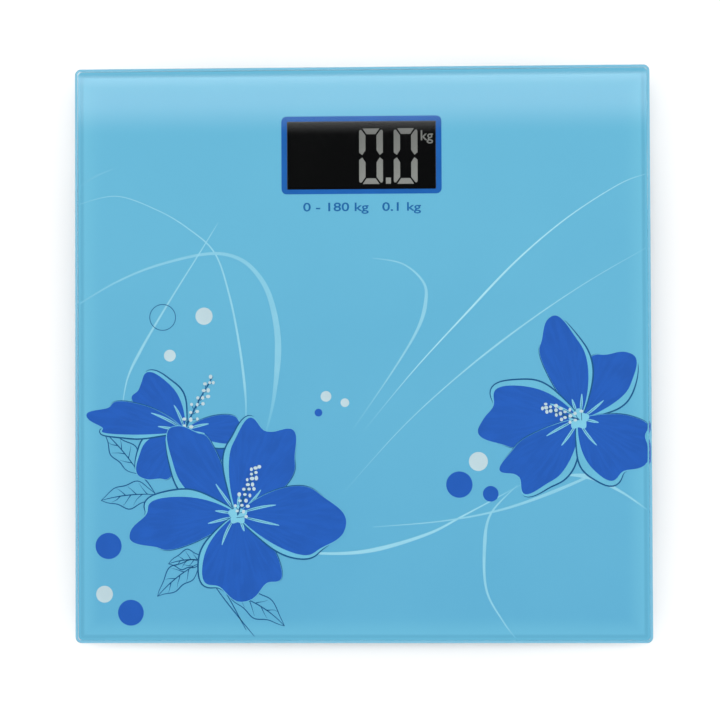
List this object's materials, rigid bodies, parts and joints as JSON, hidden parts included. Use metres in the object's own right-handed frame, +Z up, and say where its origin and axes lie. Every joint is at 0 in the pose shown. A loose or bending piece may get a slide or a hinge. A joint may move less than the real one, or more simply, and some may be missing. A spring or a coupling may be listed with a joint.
{
  "type": "digital body-weight scale",
  "caption": "Square glass platform scale with a printed flower pattern, a small display, corner feet that weigh, a battery housing with a sliding door and a unit button underneath.",
  "frame": {"origin": "on the floor, under the middle of the plate", "axes": "+Z up, +Y towards the edge with the display, +X to the right of the person standing on it"},
  "size_m": [0.28, 0.28, 0.024],
  "materials": {
    "glass": "clear tempered glass with a polished edge",
    "print": "glossy printed film, sky blue with flowers",
    "white_plastic": "moulded, fine satin texture",
    "foot_plastic": "moulded, fine satin texture",
    "foam": "closed-cell foam tape",
    "black_foam": "closed-cell foam",
    "foot_rubber": "soft matt rubber",
    "cell_steel": "ground spring steel",
    "silicone": "cured silicone",
    "lcd_glass": "thin display glass",
    "polariser": "dark polarising film",
    "frame_plastic": "moulded black",
    "screw_steel": "nickel-plated",
    "zebra": "layered silicone",
    "board": "green solder mask over glass fibre",
    "epoxy": "black epoxy",
    "components": "moulded component bodies",
    "switch_plastic": "moulded black",
    "button_plastic": "moulded grey",
    "battery": "shrink sleeve over a steel can",
    "contact_metal": "nickel-plated spring steel",
    "wire_red": "insulation",
    "wire_black": "insulation",
    "wire_white": "insulation"
  },
  "bodies": {
    "platform": {"battery_1": "battery", "battery_2": "battery", "battery_contact_bridge": "contact_metal", "battery_contact_negative": "contact_metal", "battery_contact_positive": "contact_metal", "battery_lead_black": "wire_black", "battery_lead_red": "wire_red", "battery_spring_1": "contact_metal", "battery_spring_2": "contact_metal", "board_components": "components", "cell_wires_black": "wire_black", "cell_wires_red": "wire_red", "cell_wires_white": "wire_white", "chip_blob": "epoxy", "circuit_board": "board", "display_housing": "white_plastic", "foot_base_fl": "foot_plastic", "foot_base_fr": "foot_plastic", "foot_base_rl": "foot_plastic", "foot_base_rr": "foot_plastic", "foot_tapes": "foam", "gauge_potting": "silicone", "glass_platform": "glass", "housing_gasket": "foam", "lcd_frame": "frame_plastic", "lcd_front_glass": "lcd_glass", "lcd_front_polariser": "polariser", "lcd_rear_glass": "lcd_glass", "lcd_rear_polariser": "polariser", "lcd_screws": "screw_steel", "load_cell_fl": "cell_steel", "load_cell_fr": "cell_steel", "load_cell_rl": "cell_steel", "load_cell_rr": "cell_steel", "printed_film": "print", "tact_switch": "switch_plastic", "window_gasket": "black_foam", "wire_channel_fl": "white_plastic", "wire_channel_fr": "white_plastic", "wire_channel_rl": "white_plastic", "wire_channel_rr": "white_plastic", "zebra_connector": "zebra"},
    "battery_door": {"battery_door": "white_plastic"},
    "unit_button": {"unit_button": "button_plastic", "switch_plunger": "switch_plastic"},
    "foot_fl": {"foot_cap_fl": "foot_plastic", "foot_pad_fl": "foot_rubber"},
    "foot_fr": {"foot_cap_fr": "foot_plastic", "foot_pad_fr": "foot_rubber"},
    "foot_rl": {"foot_cap_rl": "foot_plastic", "foot_pad_rl": "foot_rubber"},
    "foot_rr": {"foot_cap_rr": "foot_plastic", "foot_pad_rr": "foot_rubber"}
  },
  "joints": [
    {"name": "foot_fl_play", "type": "slide", "parent": "platform", "child": "foot_fl", "axis": [0, 0, 1], "range_m": [-0.0004, 0]},
    {"name": "foot_fr_play", "type": "slide", "parent": "platform", "child": "foot_fr", "axis": [0, 0, 1], "range_m": [-0.0004, 0]},
    {"name": "foot_rl_play", "type": "slide", "parent": "platform", "child": "foot_rl", "axis": [0, 0, 1], "range_m": [-0.0004, 0]},
    {"name": "foot_rr_play", "type": "slide", "parent": "platform", "child": "foot_rr", "axis": [0, 0, 1], "range_m": [-0.0004, 0]},
    {"name": "battery_door_slide", "type": "slide", "parent": "platform", "child": "battery_door", "axis": [0, -1, 0], "range_m": [0, 0.03]},
    {"name": "unit_button_press", "type": "slide", "parent": "platform", "child": "unit_button", "axis": [0, 0, 1], "range_m": [0, 0.0003], "stiffness_N_per_m": 5000}
  ]
}
